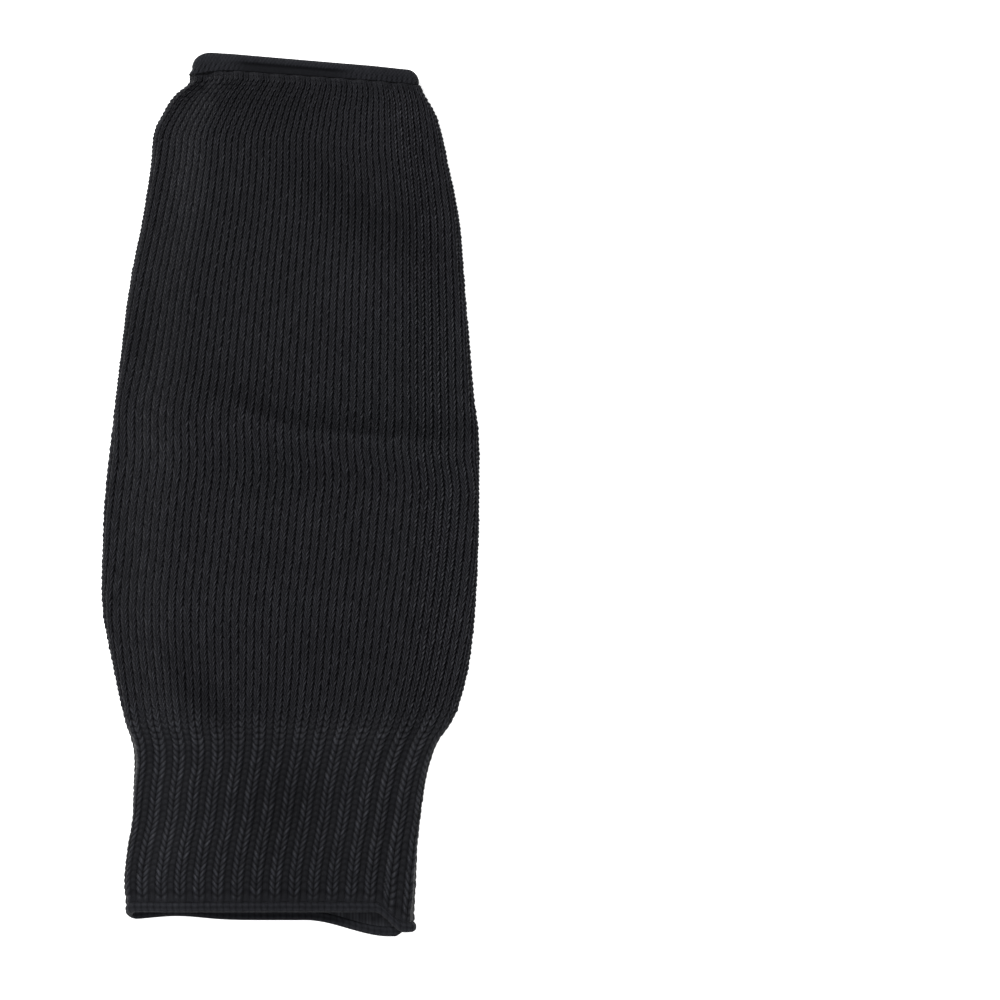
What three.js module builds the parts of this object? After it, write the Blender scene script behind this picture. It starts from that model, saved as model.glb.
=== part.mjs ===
import * as THREE from 'three';
import { ParametricGeometry } from 'three/addons/geometries/ParametricGeometry.js';
import { mergeVertices } from 'three/addons/utils/BufferGeometryUtils.js';

// A knitted arm sleeve lying on its back, in mm: X across it, Y towards the wrist end, Z up.

// Lengths along the arm
const bodyLength = 250;
const cuffLength = 75;
const wristHemHeight = 6;
const cuffHemHeight = 3.6;
const seamGap = 0.3; // clearance between two pieces that meet

// Widths of the flat tube
const bodyWidth = 149;
const cuffWidth = 114;
const wristWidth = 90;

// Knit walls, and the hollow that the arm goes through
const bodyWall = 2.2;
const cuffWall = 1.7; // in the valleys between the ribs
const ribDepth = 1;
const ribCount = 32;
const wristHemWall = 3;
const hemRound = 0.8; // how far a hem's wall thins to its two edges, on each side
const hollow = 8.4; // at the middle of the body
const sideHollow = 2.8; // inside the two side folds
const crownReach = 26; // from a side fold to the full height, where the tube is widest

// How the ends hang
const backHang = 10; // the cuff's back layer reaches this far below its front, at the right
const cornerReach = 12; // the front drops to meet it this far before the right fold
const hangReach = 30; // length of cuff that this pulls down
const cuffTwist = 14; // the ribs turn this far round the tube from end to end
const curlDrop = 4.5; // the wrist hem's lower edge dips at its left end
const curlWidth = 7;
const curlBulge = 0.8;
const curlReach = 14; // length of body that follows the dip
const hemCorner = 3.5; // the wrist hem's free edge drops at both side folds
const cornerWidth = 4.5;

// Gathers under the wrist hem, and the start of the ribs
const gatherDepth = 0.7;
const gatherCount = 22;
const gatherReach = 16;
const ribFade = 8;
const foldRise = 0.7; // height of the step along the pressed crease

const halfBody = bodyWidth / 2;
const halfCuff = cuffWidth / 2;
const halfWrist = wristWidth / 2;

// Sections of the body, from the ribs to the wrist hem.
// Edges are shares of half a width, open is the share of the hollow, tilt is the slope of the courses.
const bodySections = [
  { along: 0, left: -0.897 * halfBody, right: 0.887 * halfBody, open: 0.86, tilt: 0 },
  { along: 0.066, left: -0.942 * halfBody, right: 0.942 * halfBody, open: 0.94, tilt: 0 },
  { along: 0.16, left: -1 * halfBody, right: 0.979 * halfBody, open: 1, tilt: 0 },
  { along: 0.255, left: -1 * halfBody, right: 0.995 * halfBody, open: 1, tilt: -0.02 },
  { along: 0.349, left: -0.984 * halfBody, right: 1 * halfBody, open: 0.96, tilt: -0.07 },
  { along: 0.436, left: -0.952 * halfBody, right: 0.997 * halfBody, open: 0.9, tilt: -0.13 },
  { along: 0.491, left: -0.931 * halfBody, right: 0.974 * halfBody, open: 0.94, tilt: -0.12 },
  { along: 0.585, left: -0.894 * halfBody, right: 0.947 * halfBody, open: 1, tilt: -0.07 },
  { along: 0.679, left: -0.852 * halfBody, right: 0.921 * halfBody, open: 1, tilt: -0.05 },
  { along: 0.774, left: -0.789 * halfBody, right: 0.894 * halfBody, open: 1, tilt: -0.05 },
  { along: 0.868, left: -0.741 * halfBody, right: 0.831 * halfBody, open: 0.96, tilt: -0.06 },
  { along: 0.915, left: -1.197 * halfWrist, right: 1.32 * halfWrist, open: 0.92, tilt: -0.06 },
  { along: 0.947, left: -1.11 * halfWrist, right: 1.259 * halfWrist, open: 0.88, tilt: -0.06 },
  { along: 0.978, left: -1.0 * halfWrist, right: 1.16 * halfWrist, open: 0.82, tilt: -0.07 },
  { along: 1, left: -0.895 * halfWrist, right: 1.115 * halfWrist, open: 0.76, tilt: -0.07 },
];

// Sections of the ribbed cuff, from its hem to the body.
const cuffSections = [
  { along: 0, left: -1.145 * halfCuff, right: 0.86 * halfCuff, open: 0.72, tilt: 0 },
  { along: 0.12, left: -1.159 * halfCuff, right: 0.869 * halfCuff, open: 0.74, tilt: 0 },
  { along: 0.277, left: -1.142 * halfCuff, right: 0.886 * halfCuff, open: 0.76, tilt: 0 },
  { along: 0.435, left: -1.111 * halfCuff, right: 0.91 * halfCuff, open: 0.76, tilt: 0 },
  { along: 0.592, left: -1.1 * halfCuff, right: 0.934 * halfCuff, open: 0.78, tilt: 0 },
  { along: 0.749, left: -1.09 * halfCuff, right: 0.979 * halfCuff, open: 0.8, tilt: 0 },
  { along: 0.853, left: -0.852 * halfBody, right: 0.795 * halfBody, open: 0.82, tilt: 0 },
  { along: 0.906, left: -0.873 * halfBody, right: 0.836 * halfBody, open: 0.84, tilt: 0 },
  { along: 1, left: -0.897 * halfBody, right: 0.887 * halfBody, open: 0.86, tilt: 0 },
];

// Sections of the two hems, from edge to edge.
const wristHemSections = [
  { along: 0, left: -0.895 * halfWrist, right: 1.125 * halfWrist, open: 0.76, tilt: -0.07 },
  { along: 0.5, left: -0.9 * halfWrist, right: 1.13 * halfWrist, open: 0.74, tilt: -0.08 },
  { along: 1, left: -0.865 * halfWrist, right: 1.11 * halfWrist, open: 0.74, tilt: -0.085 },
];
const cuffHemSections = [
  { along: 0, left: -1.135 * halfCuff, right: 0.86 * halfCuff, open: 0.72, tilt: 0 },
  { along: 0.5, left: -1.145 * halfCuff, right: 0.87 * halfCuff, open: 0.72, tilt: 0 },
  { along: 1, left: -1.145 * halfCuff, right: 0.86 * halfCuff, open: 0.72, tilt: 0 },
];

// Dents in the upper layer. Across, wide and long are shares of half the piece's width,
// along is a share of its length, deep of the hollow, and turn is in degrees.
const bodyDents = [
  { across: 0.4, along: 0.786, wide: 0.5, long: 0.11, deep: 0.19, turn: -36 },
  { across: -0.77, along: 0.593, wide: 0.14, long: 0.22, deep: 0.12, turn: 0 },
  { across: -0.5, along: 0.045, wide: 0.32, long: 0.1, deep: 0.16, turn: -48 },
  { across: 0.38, along: 0.39, wide: 0.5, long: 0.14, deep: 0.08, turn: -4 },
  { across: 0.3, along: 0.1, wide: 0.35, long: 0.2, deep: 0.07, turn: 10 },
  { across: 0.05, along: 0.9, wide: 0.3, long: 0.12, deep: 0.1, turn: -14 },
];
const cuffDents = [
  { across: 0, along: 0.5, wide: 0.42, long: 0.62, deep: 0.17, turn: 0 },
  { across: -0.35, along: 0.95, wide: 0.3, long: 0.12, deep: 0.12, turn: -48 },
];

// The pressed crease crosses the upper layer of the body: it drops slowly from the wrist side to
// the line and climbs sharply on the other. Its lengths are shares of half the body's width.
const crease = { along: 0.436, from: -0.55, to: 1, fade: 0.35, before: 0.05, after: 0.2 };

// The back layer's drop below the cuff: shares of the whole drop, and places as shares of half the cuff.
const hang = { left: 0.36, fold: 0.8, from: 0.1, run: 0.58, lift: 0.16, liftAt: -0.79, liftWide: 0.25 };

// Faces: spans round the loop and rows along each piece
const plainSpans = { top: 30, fold: 6, back: 14 };
const ribSpans = 4; // spans to each rib
const bodyRows = 20;
const cuffRows = 6;
const wristHemRows = 4;
const cuffHemRows = 3;

const smooth = (value) => THREE.MathUtils.smoothstep(value, 0, 1);
const bell = (distance) => Math.exp(-distance * distance);

// Turns a table of sections into a function of the share along the piece.
function sectionCurve(rows) {
  const places = rows.map((row) => row.along);
  const values = rows.flatMap((row) => [row.left, row.right, row.open, row.tilt]);
  const curve = new THREE.CubicInterpolant(places, values, 4);
  return (along) => {
    const [left, right, open, tilt] = curve.evaluate(THREE.MathUtils.clamp(along, 0, 1));
    return { left, right, open, tilt };
  };
}

// The section of a piece at a share along it. A tilted course meets each edge higher or lower.
function lieAt(piece, along) {
  const { left, right, open, tilt } = piece.section(along);
  const wall = piece.wall + piece.relief;
  return {
    left: piece.section(along + (tilt * left) / piece.length).left,
    right: piece.section(along + (tilt * right) / piece.length).right,
    fold: 2 * wall + sideHollow,
    crown: 2 * wall + hollow * open,
    rise: (crownReach * (right - left)) / bodyWidth,
    tilt,
  };
}

function dentDepth(piece, x, along) {
  let depth = 0;
  for (const dent of piece.dents) {
    const turn = THREE.MathUtils.degToRad(dent.turn);
    const dx = x - dent.across * piece.half;
    const dy = (along - dent.along) * piece.length;
    const lengthwise = (dx * Math.cos(turn) + dy * Math.sin(turn)) / (dent.wide * piece.half);
    const crosswise = (dy * Math.cos(turn) - dx * Math.sin(turn)) / (dent.long * piece.half);
    depth += dent.deep * hollow * bell(lengthwise) * bell(crosswise);
  }
  return depth;
}

function creaseDepth(x, along) {
  const distance = ((along - crease.along) * bodyLength) / halfBody;
  const slope = distance < 0 ? crease.before : crease.after;
  const start = smooth((x / halfBody - crease.from) / crease.fade);
  const end = smooth((crease.to - x / halfBody) / crease.fade);
  return foldRise * start * end * bell(distance / slope);
}

// Share of the back layer at a turn round the loop: 0 over the top, 1 underneath.
function backShare(turn) {
  if (turn <= 2) return smooth(turn - 1);
  return 1 - smooth(turn - 3);
}

// How far the cuff end hangs. The back hangs most a little before its right fold, and the front
// drops to it at that corner.
function hangAt(turn, x, lie) {
  const inward = (lie.right - lie.fold / 2 - x) / cornerReach;
  const across = x / halfCuff;
  const drop = THREE.MathUtils.lerp(hang.left, 1, smooth((across - hang.from) / hang.run));
  const lift = hang.lift * bell((across - hang.liftAt) / hang.liftWide);
  const corner = THREE.MathUtils.lerp(hang.fold, 1, smooth(3 * inward));
  if (turn >= 1) return backHang * (drop - lift) * corner * (1 - smooth(turn - 3));
  return backHang * hang.fold * smooth(1 - inward);
}

// A point of the tube. Turn runs 0 to 1 over the top, 2 round the right fold, 3 underneath, 4 round the left.
// Inset goes into the wall, and raise stands out of it.
function loopPoint(piece, lie, turn, along, inset, raise) {
  const radius = lie.fold / 2;
  const from = lie.left + radius;
  const to = lie.right - radius;
  const reach = radius - inset + raise;
  const part = turn % 1;
  if (turn >= 1 && turn < 2) {
    const angle = (0.5 - part) * Math.PI;
    return [to + reach * Math.cos(angle), radius + reach * Math.sin(angle)];
  }
  if (turn >= 2 && turn < 3) {
    return [THREE.MathUtils.lerp(to, from, part), radius - reach];
  }
  if (turn >= 3 && turn < 4) {
    const angle = (1.5 - part) * Math.PI;
    return [from + reach * Math.cos(angle), radius + reach * Math.sin(angle)];
  }
  const x = THREE.MathUtils.lerp(from, to, part);
  const inward = Math.min(x - from, to - x);
  const crown = (lie.crown - lie.fold) * smooth(inward / lie.rise);
  const sunk = piece.sink(x, along) * smooth((2 * inward) / lie.rise);
  return [x, radius + reach + crown - sunk];
}

// Turn for each span of a plain piece: the folds get spans of their own.
function plainTurn(step) {
  const { top, fold, back } = plainSpans;
  if (step <= top) return step / top;
  if (step <= top + fold) return 1 + (step - top) / fold;
  if (step <= top + fold + back) return 2 + (step - top - fold) / back;
  return 3 + (step - top - fold - back) / fold;
}

// Turn for an equal step round the loop, which keeps the ribs evenly spaced.
function evenTurn(share, lie) {
  const flat = lie.right - lie.left - lie.fold;
  const round = (Math.PI * lie.fold) / 2;
  const leg = share < 0.5 ? 0 : 2;
  const distance = (share % 0.5) * 2 * (flat + round);
  return leg + (distance < flat ? distance / flat : 1 + (distance - flat) / round);
}

// One closed wall: out along the outer side, over the edge, and back along the inner side.
function knitTube(name, piece) {
  const last = piece.rows;
  const stacks = 2 * last + 2;
  const wallPoint = (u, v, target) => {
    const step = Math.round(u * piece.spans) % piece.spans;
    const stack = Math.round(v * stacks) % stacks;
    const outer = stack <= last;
    const along = (outer ? stack : stacks - 1 - stack) / last;
    const lie = lieAt(piece, along);
    const turn = piece.turnAt(step, lie);
    const raise = piece.raise(turn, step / piece.spans, along, lie);
    const inset = outer ? 0 : piece.inset(along);
    const [x, z] = loopPoint(piece, lie, turn, along, inset, outer ? raise : 0);
    const y = piece.start + along * piece.length + lie.tilt * x + piece.shift(turn, x, along, lie);
    target.set(x, y, z);
  };
  const surface = new ParametricGeometry(wallPoint, piece.spans, stacks);
  surface.deleteAttribute('normal');
  surface.deleteAttribute('uv');
  const geometry = mergeVertices(surface);
  const material = new THREE.MeshStandardMaterial({
    color: piece.color,
    roughness: 0.85,
    metalness: 0,
  });
  const mesh = new THREE.Mesh(geometry, material);
  mesh.name = name;
  return mesh;
}

// The wrist end: every piece near it dips at the left, where the hem is curled.
const wristLeft = bodySections.at(-1).left;
const curlAt = (x) => bell((x - wristLeft) / curlWidth);

const plainLoop = {
  spans: plainSpans.top + plainSpans.back + 2 * plainSpans.fold,
  turnAt: (step) => plainTurn(step),
};
const ribLoop = {
  spans: ribCount * ribSpans,
  turnAt: (step, lie) => evenTurn(step / ribLoop.spans, lie),
};

const cuffStart = cuffHemHeight + seamGap;
const bodyStart = cuffStart + cuffLength + seamGap;
const wristStart = bodyStart + bodyLength + seamGap;

function sleeveBody() {
  return knitTube('sleeve_body', {
    ...plainLoop,
    rows: bodyRows,
    start: bodyStart,
    length: bodyLength,
    half: halfBody,
    wall: bodyWall,
    relief: 0,
    dents: bodyDents,
    color: 0x212224,
    section: sectionCurve(bodySections),
    inset: () => bodyWall,
    sink(x, along) {
      return dentDepth(this, x, along) + creaseDepth(x, along);
    },
    raise(turn, share, along) {
      const near = 1 - smooth(((1 - along) * bodyLength) / gatherReach);
      return -gatherDepth * near * (0.5 - 0.5 * Math.cos(2 * Math.PI * gatherCount * share));
    },
    shift(turn, x, along) {
      const near = 1 - smooth(((1 - along) * bodyLength) / curlReach);
      return -curlDrop * curlAt(x) * near;
    },
  });
}

function ribbedCuff() {
  return knitTube('ribbed_cuff', {
    ...ribLoop,
    rows: cuffRows,
    start: cuffStart,
    length: cuffLength,
    half: halfCuff,
    wall: cuffWall,
    relief: ribDepth,
    dents: cuffDents,
    color: 0x1f1f23,
    section: sectionCurve(cuffSections),
    inset: () => cuffWall + ribDepth,
    sink(x, along) {
      return dentDepth(this, x, along);
    },
    raise(turn, share, along, lie) {
      const loop = 2 * (lie.right - lie.left - lie.fold) + Math.PI * lie.fold;
      const twist = (cuffTwist * (1 - along)) / loop;
      const grown = smooth(((1 - along) * cuffLength) / ribFade);
      const wave = 0.5 - 0.5 * Math.cos(2 * Math.PI * ribCount * (share + twist));
      return -ribDepth * (0.35 * (1 - grown) + grown * wave);
    },
    shift(turn, x, along, lie) {
      return -hangAt(turn, x, lie) * (1 - smooth((along * cuffLength) / hangReach));
    },
  });
}

const hemThin = (along) => hemRound * (2 * along - 1) ** 2;

function wristHem() {
  return knitTube('wrist_hem', {
    ...plainLoop,
    rows: wristHemRows,
    start: wristStart,
    length: wristHemHeight,
    wall: wristHemWall,
    relief: 0,
    color: 0x26262a,
    section: sectionCurve(wristHemSections),
    inset: (along) => wristHemWall - hemThin(along),
    sink: () => 0,
    raise(turn, share, along, lie) {
      const curl = bell((share > 0.5 ? 1 - share : share) / 0.06);
      return curlBulge * curl * (1 - backShare(turn)) - hemThin(along);
    },
    shift(turn, x, along, lie) {
      const inward = Math.min(x - lie.left, lie.right - x);
      return -curlDrop * curlAt(x) * (1 - along) - hemCorner * bell(inward / cornerWidth) * along;
    },
  });
}

function cuffHem() {
  return knitTube('cuff_hem', {
    ...ribLoop,
    rows: cuffHemRows,
    start: 0,
    length: cuffHemHeight,
    wall: cuffWall,
    relief: ribDepth,
    color: 0x26262a,
    section: sectionCurve(cuffHemSections),
    inset: (along) => cuffWall + ribDepth - hemThin(along),
    sink: () => 0,
    raise: (turn, share, along) => -hemThin(along),
    shift: (turn, x, along, lie) => -hangAt(turn, x, lie),
  });
}

const sleeve = new THREE.Group();
sleeve.add(sleeveBody(), ribbedCuff(), wristHem(), cuffHem());

// The origin is under the middle of the lying sleeve.
const extent = new THREE.Box3().setFromObject(sleeve);
const middle = extent.getCenter(new THREE.Vector3());
sleeve.position.set(-middle.x, -middle.y, -extent.min.z);

export default sleeve;
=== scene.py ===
# A black knitted arm sleeve lying on its back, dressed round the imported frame.
# Metres. X runs across the sleeve, Y along the arm towards the wrist hem, Z up from the table.
import math
import bpy
import bmesh
import numpy as np
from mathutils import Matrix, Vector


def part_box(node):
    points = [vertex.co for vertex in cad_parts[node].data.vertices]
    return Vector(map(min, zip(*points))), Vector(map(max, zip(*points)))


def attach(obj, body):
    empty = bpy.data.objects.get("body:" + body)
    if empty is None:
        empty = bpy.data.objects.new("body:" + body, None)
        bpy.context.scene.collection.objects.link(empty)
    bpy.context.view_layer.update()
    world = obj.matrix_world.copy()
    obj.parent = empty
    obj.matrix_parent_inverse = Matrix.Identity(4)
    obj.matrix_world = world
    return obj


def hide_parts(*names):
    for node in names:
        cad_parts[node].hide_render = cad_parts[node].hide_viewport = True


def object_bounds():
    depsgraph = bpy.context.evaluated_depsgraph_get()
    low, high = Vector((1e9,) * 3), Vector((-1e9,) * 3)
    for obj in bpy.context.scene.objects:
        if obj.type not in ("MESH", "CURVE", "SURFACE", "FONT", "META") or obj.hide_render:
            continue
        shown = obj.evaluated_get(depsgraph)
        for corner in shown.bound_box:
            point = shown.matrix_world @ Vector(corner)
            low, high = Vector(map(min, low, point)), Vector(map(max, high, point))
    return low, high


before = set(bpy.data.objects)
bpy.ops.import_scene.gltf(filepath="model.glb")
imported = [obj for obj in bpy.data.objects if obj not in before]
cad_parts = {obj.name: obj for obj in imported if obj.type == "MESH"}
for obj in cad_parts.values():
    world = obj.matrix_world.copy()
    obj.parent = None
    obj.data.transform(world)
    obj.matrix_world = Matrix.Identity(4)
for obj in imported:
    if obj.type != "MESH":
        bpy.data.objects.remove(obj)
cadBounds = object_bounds()
mm = 0.001
print("frame loaded:", sorted(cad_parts))

# Camera: straight above, as the photograph looks down on the sleeve
view = {
    "distance": 2.0,
    "sensor": 36.0,
    "frameWidth": 394.1 * mm,  # what the picture spans at the height of the side folds
    "foldHeight": 4 * mm,
    "middle": (82.6 * mm, -1.8 * mm),  # the sleeve lies left of the picture's middle
    "farEnd": 20,
}


def makeCamera():
    data = bpy.data.cameras.new("overheadCamera")
    data.sensor_width = view["sensor"]
    data.lens = view["sensor"] * view["distance"] / view["frameWidth"]
    data.clip_end = view["farEnd"]
    camera = bpy.data.objects.new("overheadCamera", data)
    camera.location = (*view["middle"], view["distance"] + view["foldHeight"])
    bpy.context.collection.objects.link(camera)
    bpy.context.scene.camera = camera


makeCamera()
print("camera placed")

# The sleeve's driving sizes. Lengths, widths, walls and gaps are the frame's own.
sleeve = {
    "bodyLength": 250 * mm,
    "cuffLength": 75 * mm,
    "wristHemHeight": 6 * mm,
    "cuffHemHeight": 3.6 * mm,
    "seamGap": 0.3 * mm,
    "bodyWidth": 149 * mm,
    "cuffWidth": 114 * mm,
    "wristWidth": 90 * mm,
    "bodyWall": 2.2 * mm,
    "cuffWall": 2.7 * mm,  # to the crest of a rib
    "wristHemWall": 3 * mm,
    "hemStep": 0.1 * mm,  # the body's last course is this much thinner than the wrist hem
    "hollow": 8.4 * mm,  # between the layers at the middle of the tube
    "sideHollow": 2.8 * mm,  # and in its side folds
    "crownReach": 26 * mm,  # the top layer rises over this width from each side fold
    "backHang": 10 * mm,  # the cuff's back layer reaches this far below its front, at the right
    "cornerReach": 12 * mm,
    "hangReach": 30 * mm,
    "curlDrop": 2.5 * mm,  # the wrist hem's curl, at its left end
    "curlWidth": 9 * mm,
    "curlBulge": 0.8 * mm,
    "curlReach": 14 * mm,
    "hemRound": 0.8 * mm,
    "leftRound": 10 * mm,  # the wrist hem's upper corners
    "rightRound": 5 * mm,
    "wales": 96,  # columns of stitches round the sleeve
}
halfBody = sleeve["bodyWidth"] / 2
halfCuff = sleeve["cuffWidth"] / 2
halfWrist = sleeve["wristWidth"] / 2

# Sections: share along the piece, left and right edge, share of the hollow, slope of the course
bodySections = [
    (0, -0.897 * halfBody, 0.887 * halfBody, 0.86, 0),
    (0.066, -0.942 * halfBody, 0.942 * halfBody, 0.94, 0),
    (0.16, -1 * halfBody, 0.979 * halfBody, 1, 0),
    (0.255, -1 * halfBody, 0.995 * halfBody, 1, -0.02),
    (0.349, -0.984 * halfBody, 1 * halfBody, 0.96, -0.07),
    (0.436, -0.952 * halfBody, 0.997 * halfBody, 0.9, -0.13),
    (0.491, -0.931 * halfBody, 0.974 * halfBody, 0.94, -0.12),
    (0.585, -0.894 * halfBody, 0.947 * halfBody, 1, -0.07),
    (0.679, -0.852 * halfBody, 0.921 * halfBody, 1, -0.05),
    (0.774, -0.789 * halfBody, 0.894 * halfBody, 1, -0.05),
    (0.868, -0.741 * halfBody, 0.831 * halfBody, 0.96, -0.06),
    (0.915, -1.197 * halfWrist, 1.32 * halfWrist, 0.92, -0.06),
    (0.947, -1.11 * halfWrist, 1.259 * halfWrist, 0.88, -0.06),
    (0.978, -1.0 * halfWrist, 1.16 * halfWrist, 0.82, -0.07),
    (1, -0.895 * halfWrist, 1.115 * halfWrist, 0.76, -0.07),
]
cuffSections = [
    (0, -1.145 * halfCuff, 0.86 * halfCuff, 0.5, 0),
    (0.12, -1.159 * halfCuff, 0.869 * halfCuff, 0.6, 0),
    (0.277, -1.142 * halfCuff, 0.886 * halfCuff, 0.76, 0),
    (0.435, -1.111 * halfCuff, 0.91 * halfCuff, 0.76, 0),
    (0.592, -1.1 * halfCuff, 0.934 * halfCuff, 0.78, 0),
    (0.749, -1.09 * halfCuff, 0.979 * halfCuff, 0.8, 0),
    (0.853, -0.852 * halfBody, 0.795 * halfBody, 0.82, 0),
    (0.906, -0.873 * halfBody, 0.836 * halfBody, 0.84, 0),
    (1, -0.897 * halfBody, 0.887 * halfBody, 0.86, 0),
]
wristHemSections = [
    (0, -0.895 * halfWrist, 1.125 * halfWrist, 0.76, -0.07),
    (0.5, -0.9 * halfWrist, 1.13 * halfWrist, 0.74, -0.08),
    (1, -0.865 * halfWrist, 1.11 * halfWrist, 0.74, -0.085),
]
cuffHemSections = [
    (0, -1.135 * halfCuff, 0.86 * halfCuff, 0.46, 0),
    (0.5, -1.145 * halfCuff, 0.87 * halfCuff, 0.48, 0),
    (1, -1.145 * halfCuff, 0.86 * halfCuff, 0.5, 0),
]

# Folds of the upper layer: across, along, wide, long, deep, turn in degrees, painted shading.
# Across, wide and long are shares of half the body's width, along is a share of the whole sleeve,
# and deep a share of the hollow. The painted shading is shade and light painted into the yarn's
# colour there: darker in the folds' valleys and lighter on their swells.
folds = [
    (0.42, 0.817, 0.45, 0.12, 0.28, -36, -0.14),
    (-0.74, 0.681, 0.14, 0.2, 0.12, 0, -0.06),
    (0.13, 0.52, 0.6, 0.15, 0.1, -3, -0.11),
    (0.26, 0.32, 0.32, 0.18, 0.08, 0, -0.06),
    (-0.44, 0.269, 0.3, 0.08, 0.2, -48, -0.13),
    (-0.03, 0.15, 0.25, 0.4, 0.17, 0, -0.11),
    (0.1, 0.045, 0.3, 0.1, 0.06, 0, -0.05),
    (0.04, 0.93, 0.3, 0.06, 0.1, -14, -0.05),
    (-0.46, 0.845, 0.14, 0.4, 0, 0, 0.05),
    (0.47, 0.92, 0.28, 0.16, -0.05, 0, 0.09),
    (0.3, 0.732, 0.2, 0.16, -0.05, 0, 0.07),
    (-0.69, 0.543, 0.25, 0.12, -0.03, 0, 0.07),
    (-0.64, 0.38, 0.3, 0.2, -0.04, 0, 0.05),
    (-0.69, 0.255, 0.16, 0.12, -0.05, 0, 0.09),
    (-0.63, 0.06, 0.2, 0.25, -0.05, 0, 0.1),
    (0.16, 0.43, 0.5, 0.14, 0, 0, -0.05),
    (0.12, 0.25, 0.5, 0.08, 0, 0, -0.08),
    (0.08, 0.14, 0.45, 0.28, 0, 0, -0.07),
    (0.84, 0.53, 0.2, 1.3, 0, 0, 0.08),
    (-0.6, 0.75, 0.11, 0.5, 0, 4, -0.08),
]
# The line of the pressed crease: across and along, in the same shares
creaseRows = [
    (-0.62, 0.6395),
    (-0.394, 0.6124),
    (-0.161, 0.592),
    (0.082, 0.5752),
    (0.368, 0.5695),
    (0.685, 0.565),
    (1.008, 0.5616),
]
crease = {
    "from": -0.66,  # fades in from here to the right
    "fade": 0.5,
    "depth": 1.15 * mm,
    "above": 13 * mm,  # a long slope above the line and a steep one below it
    "below": 3.8 * mm,
    # Painted shade: a dark band painted on the long slope above the crease line
    "paintedShadeAbove": -0.17,
    "paintedShadeReach": 9 * mm,
}
# How the cuff's back layer hangs, in shares of its full hang and of half the cuff's width
hang = {
    "left": 0.36,
    "fold": 0.8,  # at the right side fold, and how fast it gets there
    "foldPace": 3,
    "from": 0.1,
    "run": 0.58,
    "lift": 0.16,  # a small lift near the left side
    "liftAt": -0.79,
    "liftWide": 0.25,
}


def smooth(value):
    value = np.clip(value, 0, 1)
    return value * value * (3 - 2 * value)


def bell(distance):
    return np.exp(-distance * distance)


def blend(first, second, share):
    return first + (second - first) * share


# A smooth curve through the rows of a table, whose first column is the place
def curveThrough(rows):
    table = np.array(rows, dtype=float).T
    places, values = table[0], table[1:]
    secant = np.diff(values) / np.diff(places)
    slope = np.hstack([secant[:, :1], (secant[:, 1:] + secant[:, :-1]) / 2, secant[:, -1:]])

    def at(place):
        place = np.clip(place, places[0], places[-1])
        low = np.clip(np.searchsorted(places, place) - 1, 0, len(places) - 2)
        step = places[low + 1] - places[low]
        t = (place - places[low]) / step
        return (
            values[:, low] * (1 + 2 * t) * (1 - t) ** 2
            + values[:, low + 1] * t * t * (3 - 2 * t)
            + slope[:, low] * step * t * (1 - t) ** 2
            + slope[:, low + 1] * step * t * t * (t - 1)
        )

    return at


creaseLine = curveThrough(creaseRows)
wholeLength = cadBounds[1][1] - cadBounds[0][1]


# How deep the upper layer is pressed at a place, and the shade and light painted into the yarn's
# colour there, with a band of painted shade above the crease
def foldAt(x, y):
    depth, paintedFoldShading = 0, 0
    for across, along, wide, long, deep, turn, shade in folds:
        angle = math.radians(turn)
        dx = x / halfBody - across
        dy = (y - cadBounds[0][1] - along * wholeLength) / halfBody
        lengthwise = (dx * math.cos(angle) + dy * math.sin(angle)) / wide
        crosswise = (dy * math.cos(angle) - dx * math.sin(angle)) / long
        near = bell(lengthwise) * bell(crosswise)
        depth = depth + deep * sleeve["hollow"] * near
        paintedFoldShading = paintedFoldShading + shade * near
    above = y - cadBounds[0][1] - creaseLine(x / halfBody)[0] * wholeLength
    strength = smooth((x / halfBody - crease["from"]) / crease["fade"])
    reach = np.where(above < 0, crease["below"], crease["above"])
    depth = depth + crease["depth"] * strength * bell(above / reach)
    paintedCreaseShade = crease["paintedShadeAbove"] * bell(above / crease["paintedShadeReach"]) * (above > 0)
    return depth, paintedFoldShading + strength * paintedCreaseShade


# How far the cuff end hangs at a point of the loop. Turn is 0 to 1 over the top, 2 round the
# right fold, 3 underneath and 4 round the left fold.
def hangAt(turn, x, right, fold):
    inward = (right - fold / 2 - x) / sleeve["cornerReach"]
    across = x / halfCuff
    drop = blend(hang["left"], 1, smooth((across - hang["from"]) / hang["run"]))
    lift = hang["lift"] * bell((across - hang["liftAt"]) / hang["liftWide"])
    corner = blend(hang["fold"], 1, smooth(hang["foldPace"] * inward))
    under = sleeve["backHang"] * (drop - lift) * corner * (1 - smooth(turn - 3))
    over = sleeve["backHang"] * hang["fold"] * smooth(1 - inward)
    return np.where(turn >= 1, under, over)


def curlAt(x):
    return bell((x - bodySections[-1][1]) / sleeve["curlWidth"])


def bodyShift(turn, x, along, right, fold):
    near = 1 - smooth((1 - along) * sleeve["bodyLength"] / sleeve["curlReach"])
    return -sleeve["curlDrop"] * curlAt(x) * near


def cuffShift(turn, x, along, right, fold):
    fade = 1 - smooth(along * sleeve["cuffLength"] / sleeve["hangReach"])
    return -hangAt(turn, x, right, fold) * fade


# The wrist hem's free edge rounds down to its two side folds
def wristHemShift(turn, x, along, right, fold):
    left = wristHemSections[1][1]
    drop = 0
    for inward, radius in ((x - left, sleeve["leftRound"]), (right - x, sleeve["rightRound"])):
        outward = np.clip(1 - inward / radius, 0, 1)
        drop = drop + radius * (1 - np.sqrt(1 - outward**2))
    return -sleeve["curlDrop"] * curlAt(x) * (1 - along) - drop * along


def cuffHemShift(turn, x, along, right, fold):
    return -hangAt(turn, x, right, fold)


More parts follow.
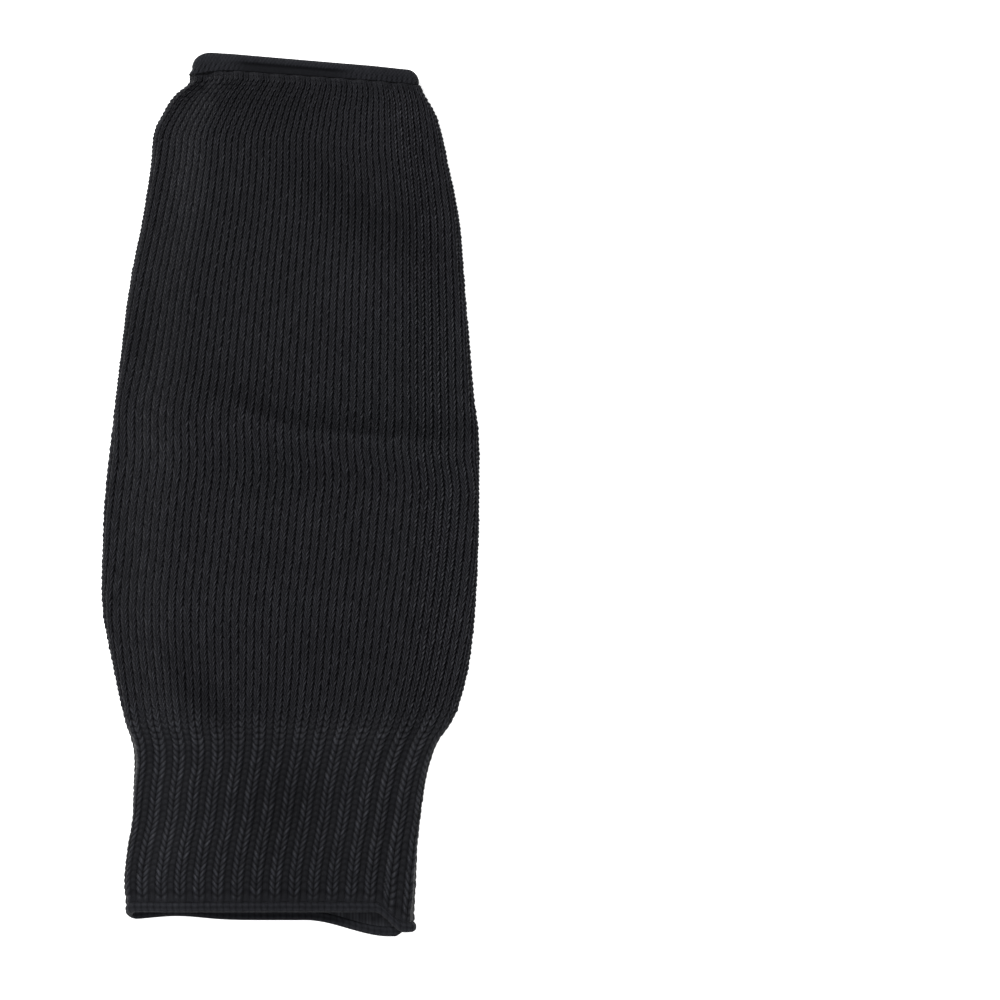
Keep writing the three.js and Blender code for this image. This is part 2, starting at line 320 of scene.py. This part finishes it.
# Where each piece starts along the arm, and how far the frame's origin is from these tables'
cuffStart = sleeve["cuffHemHeight"] + sleeve["seamGap"]
bodyStart = cuffStart + sleeve["cuffLength"] + sleeve["seamGap"]
wristStart = bodyStart + sleeve["bodyLength"] + sleeve["seamGap"]
bodyCurve = curveThrough(bodySections)
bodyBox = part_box("sleeve_body")
shiftX = bodyBox[0][0] - bodyCurve(np.linspace(0, 1, 200))[0].min()
shiftY = bodyBox[0][1] - bodyStart


# Points of a piece's wall. Share is the even share round the loop from the left end of the top,
# along the share of the piece's length, inset the depth into the wall.
def wallPoint(piece, share, along, inset):
    left, right, hollowShare, tilt = piece["curve"](along)
    left = piece["curve"](along + tilt * left / piece["length"])[0]
    right = piece["curve"](along + tilt * right / piece["length"])[1]
    fold = 2 * piece["wall"](along) + sleeve["sideHollow"]
    crown = sleeve["hollow"] * hollowShare - sleeve["sideHollow"]
    rise = sleeve["crownReach"] * (right - left) / sleeve["bodyWidth"]
    radius = fold / 2
    start, end = left + radius, right - radius
    flat = end - start
    bend = math.pi * radius
    distance = (share % 0.5) * 2 * (flat + bend)
    under = (share % 1) >= 0.5
    onFlat = distance < flat
    part = np.where(onFlat, distance / flat, (distance - flat) / bend)
    turn = 2 * under + np.where(onFlat, 0, 1) + part
    reach = radius - inset
    angle = (np.where(under, 1.5, 0.5) - part) * math.pi
    x = np.where(under, end - part * flat, start + part * flat)
    x = np.where(onFlat, x, np.where(under, start, end) + reach * np.cos(angle))
    inward = np.minimum(x - start, end - x)
    y = piece["start"] + along * piece["length"] + tilt * x
    sunk = foldAt(x + shiftX, y + shiftY)[0] * smooth(2 * inward / rise)
    z = np.where(under, radius - reach, radius + reach + crown * smooth(inward / rise) - sunk)
    z = np.where(onFlat, z, radius + reach * np.sin(angle))
    y = y + piece["shift"](turn, x, along, right, fold)
    return np.stack([x + shiftX, y + shiftY, z], axis=-1)


# The length round a stretch of a piece's wall and along it, for its flat size
def flatSize(piece, low, high):
    along = np.linspace(low, high, 50)
    left, right = piece["curve"](along)[:2]
    fold = 2 * piece["wall"](along) + sleeve["sideHollow"]
    around = (2 * (right - left - fold) + math.pi * fold).mean()
    return float(around), float(piece["length"] * (high - low))


# A wall that keeps its thickness, and one that changes it over the last run of the piece
def steady(size):
    return lambda along: size + 0 * along


def changing(first, last, run):
    return lambda along: blend(first, last, smooth((along - (1 - run)) / run))


# Each piece: where it starts, its length, sections, wall, and shift of its points along the arm
body = {
    "start": bodyStart,
    "length": sleeve["bodyLength"],
    "curve": bodyCurve,
    "wall": changing(sleeve["bodyWall"], sleeve["wristHemWall"] - sleeve["hemStep"], run=0.06),
    "shift": bodyShift,
}
cuff = {
    "start": cuffStart,
    "length": sleeve["cuffLength"] + sleeve["seamGap"],  # right up to the body's first course
    "curve": curveThrough(cuffSections),
    "wall": changing(sleeve["cuffWall"], sleeve["bodyWall"], run=0.2),
    "shift": cuffShift,
}
wristHem = {
    "start": wristStart - sleeve["seamGap"],
    "length": sleeve["wristHemHeight"] + sleeve["seamGap"],
    "curve": curveThrough(wristHemSections),
    "wall": steady(sleeve["wristHemWall"]),
    "shift": wristHemShift,
}
cuffHem = {
    "start": 0,
    "length": sleeve["cuffHemHeight"] + sleeve["seamGap"],
    "curve": curveThrough(cuffHemSections),
    "wall": steady(sleeve["cuffWall"]),
    "shift": cuffHemShift,
}

# The knit. Across a wale 0 is the groove beside it and 0.5 the middle of its V. The tables give
# the yarn's height on each mesh line, a row for each of the lines up a course; the height also
# sets the painted shade of the grooves.
knit = {
    "cuffCourses": 32,
    "bodyCourses": 133,
    "bodyCuts": (32, 76, 120, 165),  # the body's mesh is made in bands between these courses
    "columns": (0, 0.1, 0.29, 0.5, 0.71, 0.9),  # mesh lines across a wale
    "rows": (0, 0.32, 0.68),  # and up a course
    "plain": (
        (0, 0.06, 0.22, 0.4, 0.22, 0.06),
        (0.05, 0.6, 1, 0.45, 1, 0.6),
        (0.05, 0.45, 0.86, 0, 0.86, 0.45),
    ),
    "chevron": 1.5,  # courses from the foot of the V up to its ends
    "chevronPower": 1.1,
    "endFade": 1.5,  # courses over which the V goes flat at the sleeve's two ends
    "depth": 1 * mm,
    "rimDepth": 0.35,  # share of the depth that is left in the last courses
    "rimCourses": 2,
    # Painted groove shade that the last courses take
    "rimShade": 0.5,
    "unevenHeight": 0.14,
    "unevenPlace": 0.06,
    "innerRows": 8,
    # Painted shade of the inside of the tube
    "innerShade": 0.45,
    "seed": 17,
}
# The ribs: two wales joined into one broad V, and a plain sunken wale between them
rib = {
    "depth": 0.75 * mm,
    "knitDepth": 0.8 * mm,
    "from": 36,  # the course under which the ribs rise out of the plain knit
    "fade": 13,
    "wales": 3,
    "ribWidth": 2.05,  # of the three wales' width
    "crestPower": 0.7,
    "legPower": 0.7,
    "chevron": 1.15,
    "purlChevron": 0.25,
    "rows": (0.35, 1, 0.85),
    "grooveHeight": 0.25,
    "purlHeight": (0.15, 0.55),  # the least, and what its bumps add
    "purlShade": 0.5,
    "purlTones": (0.45, 1.1),  # painted shade of the sunken wale, in its grooves and on its bumps
}
# The puckers under the wrist hem: their depth, the wales to each and the courses they reach down
gather = {"depth": 0.8 * mm, "wales": 4, "reach": 8}
# Pace of the body's courses along its length: share of the courses, share of the length
paceRows = [(0, 0), (0.118, 0.129), (0.203, 0.224), (0.297, 0.319), (0.392, 0.429), (1, 1)]
# Lean of the wales round the tube: share of all courses, wales to the right
leanRows = [
    (0.0, -1.8),
    (0.194, 0),
    (0.253, 0.5),
    (0.312, 1.17),
    (0.37, 1.7),
    (0.433, 2.05),
    (0.469, 2.2),
    (0.519, 1.55),
    (0.579, 2),
    (0.648, 2.4),
    (0.717, 2.65),
    (0.785, 2.75),
    (1.0, 3.8),
]
paceCurve = curveThrough(paceRows)
leanCurve = curveThrough(leanRows)
wales = sleeve["wales"]
courses = knit["cuffCourses"] + knit["bodyCourses"]
lines = len(knit["columns"])
levels = len(knit["rows"])
columnCount = wales * lines
random = np.random.default_rng(knit["seed"])
uneven = random.uniform(-1, 1, (3, wales, courses))


# A point of the knitted tube. Inset is 0 on its outside and 1 on its inside.
def knitPoint(share, climb, inset):
    onCuff = climb / knit["cuffCourses"]
    onBody = paceCurve((climb - knit["cuffCourses"]) / knit["bodyCourses"])[0]
    low = wallPoint(cuff, share, onCuff, inset * cuff["wall"](onCuff))
    high = wallPoint(body, share, onBody, inset * body["wall"](onBody))
    return np.where((climb < knit["cuffCourses"])[..., None], low, high)


# The normal there, from the points a little to each side
def knitNormal(share, climb, inset):
    across, upward = 0.0003, 0.03
    climb = np.clip(climb, 0, courses - 2 * upward)
    side = knitPoint(share + across, climb, inset) - knitPoint(share - across, climb, inset)
    rise = knitPoint(share, climb + upward, inset) - knitPoint(share, climb - upward, inset)
    normal = np.cross(side, rise)
    return normal / np.linalg.norm(normal, axis=-1, keepdims=True)


# Across a rib and the sunken wale after it: 0 to 2 over the rib, and 2 to 3 over the sunken wale
def ribPlace(wale, place):
    return (wale + place + 1) % rib["wales"]


# Where a mesh line of the knit lies: its share round the loop and its courses up the sleeve
def stitchPlace(row, column):
    wale, line = column // lines % wales, column % lines
    course, level = row // levels, row % levels
    place = np.array(knit["columns"])[line]
    climb = course + np.array(knit["rows"])[level]
    ribbed = smooth((rib["from"] - climb) / rib["fade"])
    across = ribPlace(wale, place)
    onRib = rib["chevron"] * abs(across - 1) ** knit["chevronPower"]
    onPurl = rib["chevron"] + rib["purlChevron"] * np.sin(across * math.pi)
    reach = knit["chevron"] * abs(2 * place - 1) ** knit["chevronPower"]
    reach = blend(reach, np.where(across < 2, onRib, onPurl), ribbed)
    reach = reach * smooth(climb / knit["endFade"]) * smooth((courses - climb) / knit["endFade"])
    width = rib["ribWidth"]
    onSunken = width + (across - 2) * (rib["wales"] - width)
    widened = np.where(across < 2, across * width / 2, onSunken) - across
    near = np.clip(course, 0, courses - 1)
    aside = uneven[1][wale, near] * knit["unevenPlace"] * (line > 0) + widened * ribbed
    slip = uneven[2][wale, near] * knit["unevenPlace"] * (level > 0)
    climb = climb + reach + slip
    return (wale + place + aside + leanCurve(climb / courses)[0]) / wales, climb


# The outside of the knit on its mesh lines, with the painted shade of its grooves, which follows
# the yarn's height
def stitchSurface(row, column):
    share, climb = stitchPlace(row, column)
    wale, line = column // lines % wales, column % lines
    course, level = np.clip(row // levels, 0, courses - 1), row % levels
    ribbed = smooth((rib["from"] - row / levels) / rib["fade"])
    place = np.array(knit["columns"])[line]
    across = ribPlace(wale, place)
    leg = blend(rib["grooveHeight"], 1, abs(np.sin(math.pi * across)) ** rib["legPower"])
    inRow = np.array(rib["rows"])[level]
    least, bump = rib["purlHeight"]
    onRib = np.where(across < 2, leg * inRow, least + bump * leg * inRow)
    plain = np.array(knit["plain"])[level, line]
    height = blend(plain, onRib, ribbed) * (1 + knit["unevenHeight"] * uneven[0][wale, course])
    crest = abs(0.5 + 0.5 * np.cos(2 * math.pi * (wale + place) / rib["wales"]))
    crest = crest ** rib["crestPower"]
    gathered = smooth(1 - (courses - climb) / gather["reach"])
    puckers = 0.5 - 0.5 * np.cos(2 * math.pi * (wale + place) / gather["wales"])
    depth = blend(knit["depth"], rib["knitDepth"], ribbed) * (1 - height)
    depth = depth * blend(knit["rimDepth"], 1, smooth((courses - climb) / knit["rimCourses"]))
    depth = depth + rib["depth"] * ribbed * (1 - crest) + gather["depth"] * gathered * puckers
    points = knitPoint(share, climb, 0 * share)
    normal = knitNormal(share, climb, 0 * share)
    # Painted shade: the sunken wale between the ribs is painted darker, most in its grooves
    onPurl = rib["purlShade"] * blend(*rib["purlTones"], leg * inRow)
    shade = blend(height, np.where(across < 2, height, onPurl), ribbed)
    # Near the sleeve's two ends the painted groove shade is evened to the rim's value
    fromEnd = np.minimum(climb, courses - climb)
    shade = blend(knit["rimShade"], shade, smooth(fromEnd / knit["endFade"]))
    return points - normal * depth[..., None], shade


# A closed wall. The grid's columns go round the loop, and its rows up the outside, over the
# edge, down the inside and back to the first row. The arrays are by row and column.
def closedWall(points, normals, height, waleMarks, courseMarks):
    high, wide = height.shape
    mesh = bmesh.new()
    uvLayer = mesh.loops.layers.uv.new("knit")
    bmesh.ops.create_grid(mesh, x_segments=wide, y_segments=high, size=1, calc_uvs=True)
    flat = np.array([vert.co[:2] for vert in mesh.verts])
    column = np.rint((flat[:, 0] + 1) / 2 * wide).astype(int) % wide
    row = np.rint((flat[:, 1] + 1) / 2 * high).astype(int) % high
    dressMesh(mesh, points[row, column], normals[row, column], height[row, column])
    for face in mesh.faces:
        face.smooth = True
        for loop in face.loops:
            uv = loop[uvLayer].uv
            uv.x, uv.y = waleMarks[round(uv.x * wide)], courseMarks[round(uv.y * high)]
    bmesh.ops.remove_doubles(mesh, verts=mesh.verts, dist=1e-7)
    return mesh


# The knit between two courses. Its outside is worked out a row further at each end, so that
# bands that meet have the same normals there.
def knitWall(first, last):
    outerRows = (last - first) * levels
    up = np.arange(-1, outerRows + 2) + first * levels
    row, column = np.meshgrid(up, np.arange(columnCount), indexing="ij")
    points, height = stitchSurface(row, column)
    side = np.roll(points, -1, axis=1) - np.roll(points, 1, axis=1)
    normals = np.cross(side[1:-1], points[2:] - points[:-2])

    back = np.linspace(last, first, knit["innerRows"] + 1)
    down = (back * levels).astype(int)
    row, column = np.meshgrid(down, np.arange(columnCount), indexing="ij")
    share, climb = stitchPlace(row, column)
    inside = 1 + 0 * share
    points = np.concatenate([points[1:-1], knitPoint(share, climb, inside)])
    normals = np.concatenate([normals, -knitNormal(share, climb, inside)])
    # Painted shade inside the tube: darker overall, with painted lines where the wales' grooves
    # would be
    innerPaintedWaleShade = knit["innerShade"] * (1 + np.array(knit["plain"])[1][column % lines])
    height = np.concatenate([height[1:-1], innerPaintedWaleShade])
    waleMarks = [n // lines + knit["columns"][n % lines] for n in range(columnCount)] + [wales]
    courseMarks = [first + n // levels + knit["rows"][n % levels] for n in range(outerRows + 1)]
    courseMarks += back.tolist() + [first]
    return closedWall(points, normals, height, waleMarks, courseMarks)


# Puts the vertices in place and keeps their normal, the painted shade of the grooves (from the
# yarn's height), and the folds' painted shading where the mesh faces up
def dressMesh(mesh, points, normals, height):
    paintedGrooveShadeLayer = mesh.verts.layers.float.new("yarn")
    paintedFoldShadingLayer = mesh.verts.layers.float.new("paintedFoldShading")
    normalLayer = mesh.verts.layers.float_vector.new("surfaceNormal")
    normals = normals / np.linalg.norm(normals, axis=-1, keepdims=True)
    paintedFoldShading = foldAt(points[:, 0], points[:, 1])[1] * smooth(normals[:, 2] * 2)
    rows = zip(mesh.verts, points.tolist(), normals.tolist(), height.tolist(), paintedFoldShading.tolist())
    for vert, point, normal, paintedGrooveShade, shade in rows:
        vert.co = point
        vert[normalLayer] = normal
        vert[paintedGrooveShadeLayer] = paintedGrooveShade
        vert[paintedFoldShadingLayer] = shade


def addPiece(name, mesh, node, material):
    data = bpy.data.meshes.new(name)
    mesh.to_mesh(data)
    mesh.free()
    normals = np.empty(len(data.vertices) * 3, dtype=np.float32)
    data.attributes["surfaceNormal"].data.foreach_get("vector", normals)
    data.attributes.remove(data.attributes["surfaceNormal"])
    data.normals_split_custom_set_from_vertices(normals.reshape(-1, 3))
    data.materials.append(material)
    piece = bpy.data.objects.new(name, data)
    bpy.context.collection.objects.link(piece)
    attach(piece, "root")
    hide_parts(node)
    print(name, "made,", len(data.polygons), "faces")
    return piece


# Node helpers for the materials
def newMaterial(name):
    material = bpy.data.materials.new(name)
    material.use_nodes = True
    return material, material.node_tree, material.node_tree.nodes["Principled BSDF"]


# Sets a socket to a value, or links it where the value is another node's output
def feed(tree, socket, value):
    if isinstance(value, bpy.types.NodeSocket):
        tree.links.new(value, socket)
    else:
        socket.default_value = value


def newNode(tree, kind, **values):
    node = tree.nodes.new("ShaderNode" + kind)
    for name, value in values.items():
        feed(tree, node.inputs[name], value)
    return node


def mathNode(tree, operation, *values):
    node = newNode(tree, "Math")
    node.operation = operation
    for socket, value in zip(node.inputs, values):
        feed(tree, socket, value)
    return node.outputs[0]


def attributeNode(tree, name):
    node = newNode(tree, "Attribute")
    node.attribute_name = name
    return node.outputs["Fac"]


knitLook = {
    # Painted shade: the grooves between the stitches are painted near black
    "paintedGrooveShadeColour": (0.0012, 0.0012, 0.0016, 1),
    "yarnColour": (0.0095, 0.01, 0.014, 1),
    "grooveEdge": 1.5,  # power of the yarn's height: more makes the painted shade of the grooves wider
    "stitchVariation": 0.75,
    "stitchMean": 0.4,
    "patchVariation": 0.1,
    "patchScale": 45,  # per metre
    "patchDetail": 3,
    "paintedFoldShadingGain": 1.6,  # how strongly the folds' painted shading shows
    "roughness": (0.5, 0.68),
    "specular": 0.26,
    "sheen": 0.06,
    "sheenRoughness": 0.4,
    "plyTurns": (5, 2),  # twists of the plies across half a wale, and up a course
    "plyBump": 0.35,
    "plyHeight": 0.12 * mm,
    "fuzzScale": 2600,
    "fuzzDetail": 4,
    "fuzzRoughness": 0.7,
    "fuzzBump": 0.8,
    "fuzzHeight": 0.15 * mm,
}


# Yarn colour with painted shade in the grooves and the folds' painted shade and light, varied from
# stitch to stitch, and with the twist of its plies and a fine fuzz as bump
def knitMaterial(name, look):
    material, tree, shader = newMaterial(name)
    uv = newNode(tree, "UVMap")
    uv.uv_map = "knit"
    split = newNode(tree, "SeparateXYZ", Vector=uv.outputs[0])
    wale, course = split.outputs[0], split.outputs[1]
    place = newNode(tree, "TexCoord").outputs["Object"]
    yarn, paintedFoldShading = attributeNode(tree, "yarn"), attributeNode(tree, "paintedFoldShading")

    # Chance value of each leg of a V, and soft patches over the whole cloth
    leg = mathNode(tree, "FLOOR", mathNode(tree, "MULTIPLY", wale, 2))
    cell = newNode(tree, "CombineXYZ", X=leg, Y=mathNode(tree, "FLOOR", course))
    chance = newNode(tree, "TexWhiteNoise")
    chance.noise_dimensions = "2D"
    feed(tree, chance.inputs["Vector"], cell.outputs[0])
    patches = newNode(
        tree, "TexNoise", Vector=place, Scale=look["patchScale"], Detail=look["patchDetail"]
    )
    fuzz = newNode(
        tree, "TexNoise", Vector=place, Scale=look["fuzzScale"], Detail=look["fuzzDetail"],
        Roughness=look["fuzzRoughness"],
    ).outputs["Fac"]

    spread = mathNode(tree, "SUBTRACT", chance.outputs["Value"], look["stitchMean"])
    spread = mathNode(tree, "MULTIPLY", spread, mathNode(tree, "POWER", yarn, 2))
    byStitch = mathNode(tree, "MULTIPLY_ADD", spread, look["stitchVariation"], 1)
    variation = look["patchVariation"]
    byPatch = mathNode(tree, "MULTIPLY_ADD", patches.outputs["Fac"], 2 * variation, 1 - variation)
    byPaintedFoldShading = mathNode(tree, "MULTIPLY_ADD", paintedFoldShading, look["paintedFoldShadingGain"], 1)

    colour = newNode(tree, "Mix")
    colour.data_type = "RGBA"
    for socket, value in (
        ("A", look["paintedGrooveShadeColour"]),
        ("B", look["yarnColour"]),
        ("Factor", mathNode(tree, "POWER", yarn, look["grooveEdge"])),
    ):
        feed(tree, colour.inputs[socket], value)
    shade = newNode(tree, "VectorMath")
    shade.operation = "SCALE"
    feed(tree, shade.inputs[0], colour.outputs["Result"])
    byPlace = mathNode(tree, "MULTIPLY", byPatch, byPaintedFoldShading)
    feed(tree, shade.inputs["Scale"], mathNode(tree, "MULTIPLY", byStitch, byPlace))

    # Painted shade on the gloss too: the specular tint is darkened in the grooves and with the
    # folds' painted shading, and varies from stitch to stitch
    specularTintWithPaintedShade = mathNode(tree, "MULTIPLY", mathNode(tree, "MULTIPLY", byStitch, byPaintedFoldShading), yarn)
    tint = newNode(tree, "CombineXYZ", X=specularTintWithPaintedShade, Y=specularTintWithPaintedShade, Z=specularTintWithPaintedShade)
    rough = newNode(tree, "MapRange", Value=fuzz)
    rough.inputs["To Min"].default_value, rough.inputs["To Max"].default_value = look["roughness"]

    fromMiddle = mathNode(tree, "SUBTRACT", mathNode(tree, "FRACT", wale), 0.5)
    acrossTurns, upTurns = look["plyTurns"]
    up = mathNode(tree, "MULTIPLY", course, upTurns)
    twist = mathNode(tree, "MULTIPLY_ADD", mathNode(tree, "ABSOLUTE", fromMiddle), acrossTurns, up)
    ply = mathNode(tree, "SINE", mathNode(tree, "MULTIPLY", twist, 2 * math.pi))
    plyBump = newNode(
        tree, "Bump", Strength=look["plyBump"], Distance=look["plyHeight"], Height=ply
    )
    fuzzBump = newNode(
        tree, "Bump", Strength=look["fuzzBump"], Distance=look["fuzzHeight"], Height=fuzz,
        Normal=plyBump.outputs[0],
    )

    for socket, value in (
        ("Base Color", shade.outputs[0]),
        ("Specular Tint", tint.outputs[0]),
        ("Roughness", rough.outputs[0]),
        ("Normal", fuzzBump.outputs[0]),
        ("Specular IOR Level", look["specular"]),
        ("Sheen Weight", look["sheen"]),
        ("Sheen Roughness", look["sheenRoughness"]),
    ):
        feed(tree, shader.inputs[socket], value)
    return material


plainKnit = knitMaterial("plainBlackKnit", knitLook)
ribKnit = knitMaterial("ribBlackKnit", {**knitLook, "yarnColour": (0.0083, 0.0089, 0.0129, 1)})
hemKnit = knitMaterial("hemBlackKnit", {
    **knitLook, "yarnColour": (0.0096, 0.0101, 0.013, 1), "stitchVariation": 0.4,
    "specular": 0.15, "roughness": (0.7, 0.85), "sheen": 0.02,
})
print("yarn materials made")

bodyPieces = []
bodyBands = list(zip(knit["bodyCuts"], knit["bodyCuts"][1:]))
for bandName, (first, last) in zip(("Lower", "Middle", "Upper"), bodyBands):
    wall = knitWall(first, last)
    bodyPieces.append(addPiece("bodyKnit" + bandName, wall, "sleeve_body", plainKnit))
wall = knitWall(0, knit["cuffCourses"])
cuffPiece = addPiece("cuffRibKnit", wall, "ribbed_cuff", ribKnit)

# The two hems: walls whose outside is cut in by a depth that goes with the place, with painted
# shade in the cuts
hem = {
    "columnsPerWale": 8,
    "outerRows": 16,
    "innerRows": 8,
    "innerShare": 0.6,  # how much of the outside's relief shows inside
    "roundPower": 4,
    "seamShare": 0.3,  # the edge beside the knit is rounded less
    "stitchesPerWale": 2,  # the hem's yarn is finer, for the material's own map
    "stitchesAlong": 4,
}
welt = {
    "ridgeFrom": 0.46,  # the upper ridge starts here, over a smooth sunken band
    "bandFrom": -26 * mm,
    "bandTo": 16 * mm,
    "bandFade": 12 * mm,
    "bandEdge": 0.14,
    "bandDrop": 0.6 * mm,
    "rollDepth": 0.5 * mm,
    "rollLeast": 0.3,
    "grooveWide": 0.07,
    "grooveDepth": 0.3 * mm,
    "grooveLeast": 0.25,
    "curlWide": 0.05,
    "dotDepth": 0.3 * mm,
    "dotsPerWale": 1.5,
    "dotRows": 3.5,
    "waleDepth": 0.4 * mm,
    "waleTop": -0.08,  # from the ridge, where the wales' furrows start to fade
    "waleFade": 0.12,
    "furrowPower": 0.6,
    "shades": (0.5, 0.25, 0.35, 0.35),  # the painted shade that the sunken band, groove, furrows and dots take off
}
bound = {
    "segmentDepth": 0.16 * mm,
    "segmentPower": 0.4,
    "rowDepth": 0.12 * mm,
    "rows": 2,
    # Painted shade in the segment lines and in the dips between the rows
    "shades": (0.3, 0.25),
}


def wristHemDepth(share, along, x):
    fromRidge = along - welt["ridgeFrom"]
    band = smooth((x - welt["bandFrom"]) / welt["bandFade"])
    band = band * (1 - smooth((x - welt["bandTo"]) / welt["bandFade"]))
    low = band * (1 - smooth(fromRidge / welt["bandEdge"]))
    groove = blend(welt["grooveLeast"], 1, band) * bell(fromRidge / welt["grooveWide"])
    onTop = np.where(share < 0.5, 1, smooth((share - 1 + welt["curlWide"]) / welt["curlWide"]))
    curl = bell(np.minimum(share, 1 - share) / welt["curlWide"]) * onTop
    around = np.cos(share * 2 * math.pi * wales * welt["dotsPerWale"])
    dots = 0.5 + 0.5 * around * np.cos(along * 2 * math.pi * welt["dotRows"])
    pits = (1 - dots) * (1 - low)
    roll = np.clip(fromRidge / (1 - welt["ridgeFrom"]), 0, 1)
    roll = (1 - abs(np.sin(roll * math.pi)) ** welt["furrowPower"]) * (fromRidge > 0)
    foot = (1 - band) * (1 - smooth((fromRidge - welt["waleTop"]) / welt["waleFade"]))
    furrow = foot * (1 - abs(np.sin(share * math.pi * wales)) ** welt["furrowPower"])
    depth = low * welt["bandDrop"] + groove * welt["grooveDepth"] - curl * sleeve["curlBulge"]
    depth = depth + roll * welt["rollDepth"] * blend(welt["rollLeast"], 1, band)
    depth = depth + welt["waleDepth"] * furrow + welt["dotDepth"] * pits
    # Painted shade: the sunken band, groove, furrows and pits are painted darker
    parts = zip(welt["shades"], (low, groove, furrow, pits))
    return depth, 1 - sum(shade * part for shade, part in parts)


def cuffHemDepth(share, along, x):
    segment = 1 - abs(np.sin(share * math.pi * wales)) ** bound["segmentPower"]
    row = 0.5 + 0.5 * np.cos(along * 2 * math.pi * bound["rows"])
    depth = bound["segmentDepth"] * segment + bound["rowDepth"] * row
    # Painted shade in the segment lines and between the rows
    bySegment, byRow = bound["shades"]
    return depth, 1 - bySegment * segment - byRow * row


def hemWall(piece, depthAt):
    count = wales * hem["columnsPerWale"]
    outer, inner = hem["outerRows"], hem["innerRows"]
    rows = np.concatenate([np.arange(outer + 1) / outer, 1 - np.arange(inner + 1) / inner])
    along, share = np.meshgrid(rows, np.arange(count) / count, indexing="ij")
    x = wallPoint(piece, share, along, 0 * share)[..., 0]
    depth, height = depthAt(share, along, x)
    edge = sleeve["hemRound"] * abs(2 * along - 1) ** hem["roundPower"]
    seam = (along > 0.5) == (piece is cuffHem)
    depth = depth + edge * np.where(seam, hem["seamShare"], 1)
    outside = np.arange(len(rows))[:, None] <= outer
    inset = np.where(outside, depth, piece["wall"](along) - hem["innerShare"] * depth)
    points = wallPoint(piece, share, along, inset)
    side = np.roll(points, -1, axis=1) - np.roll(points, 1, axis=1)
    rise = np.roll(points, -1, axis=0) - np.roll(points, 1, axis=0)
    waleMarks = (np.arange(count + 1) * hem["stitchesPerWale"] * wales / count).tolist()
    courseMarks = (rows * hem["stitchesAlong"]).tolist() + [0]
    return closedWall(points, np.cross(side, rise), height, waleMarks, courseMarks)


wall = hemWall(wristHem, wristHemDepth)
wristPiece = addPiece("wristHemWelt", wall, "wrist_hem", hemKnit)
wall = hemWall(cuffHem, cuffHemDepth)
hemPiece = addPiece("cuffHemBinding", wall, "cuff_hem", hemKnit)


# How far up the body a course lies, as a share of its length
def bodyShare(course):
    return float(paceCurve((course - knit["cuffCourses"]) / knit["bodyCourses"])[0])


# The knit is cloth that lies flat, and the hems are on its two ends
for piece, (first, last) in zip(bodyPieces, bodyBands):
    flat = flatSize(body, bodyShare(first), bodyShare(last))
flatSize(cuff, 0, 1)

# Studio: a white table under soft light from above and the upper left
studio = {
    "floorSize": 8,
    "floorColour": (0.92, 0.92, 0.92, 1),
    "floorGlow": 0.8,  # the table glows, so it shows no shadow
    "floorRoughness": 0.9,
    "floorSpecular": 0.1,
    "floorDrop": 0.2 * mm,
    "world": (0.95, 0.97, 1.0, 1),
    "worldStrength": 0.25,
    "lights": (  # place, size, watts
        ((-0.8, 1.0, 1.35), 0.6, 50),
        ((0.3, -1.0, 1.4), 0.9, 15),
    ),
}


def makeStudio():
    mesh = bmesh.new()
    bmesh.ops.create_grid(mesh, x_segments=1, y_segments=1, size=studio["floorSize"] / 2)
    data = bpy.data.meshes.new("whiteTable")
    mesh.to_mesh(data)
    mesh.free()
    material, tree, shader = newMaterial("whiteTable")
    for socket, value in (
        ("Base Color", studio["floorColour"]),
        ("Roughness", studio["floorRoughness"]),
        ("Specular IOR Level", studio["floorSpecular"]),
        ("Emission Color", studio["floorColour"]),
        ("Emission Strength", studio["floorGlow"]),
    ):
        feed(tree, shader.inputs[socket], value)
    data.materials.append(material)
    table = bpy.data.objects.new("whiteTable", data)
    table.location.z = -studio["floorDrop"]
    bpy.context.collection.objects.link(table)

    world = bpy.data.worlds.new("paleWorld")
    world.use_nodes = True
    background = world.node_tree.nodes["Background"]
    background.inputs["Color"].default_value = studio["world"]
    background.inputs["Strength"].default_value = studio["worldStrength"]
    bpy.context.scene.world = world

    for number, (place, size, watts) in enumerate(studio["lights"]):
        light = bpy.data.lights.new(f"softLight{number}", "AREA")
        light.size = size
        light.energy = watts
        lamp = bpy.data.objects.new(f"softLight{number}", light)
        lamp.location = place
        aim = -lamp.location
        lamp.rotation_euler = aim.to_track_quat("-Z", "Y").to_euler()
        bpy.context.collection.objects.link(lamp)
    bpy.context.scene.view_settings.view_transform = "Standard"


makeStudio()
print("studio lit")
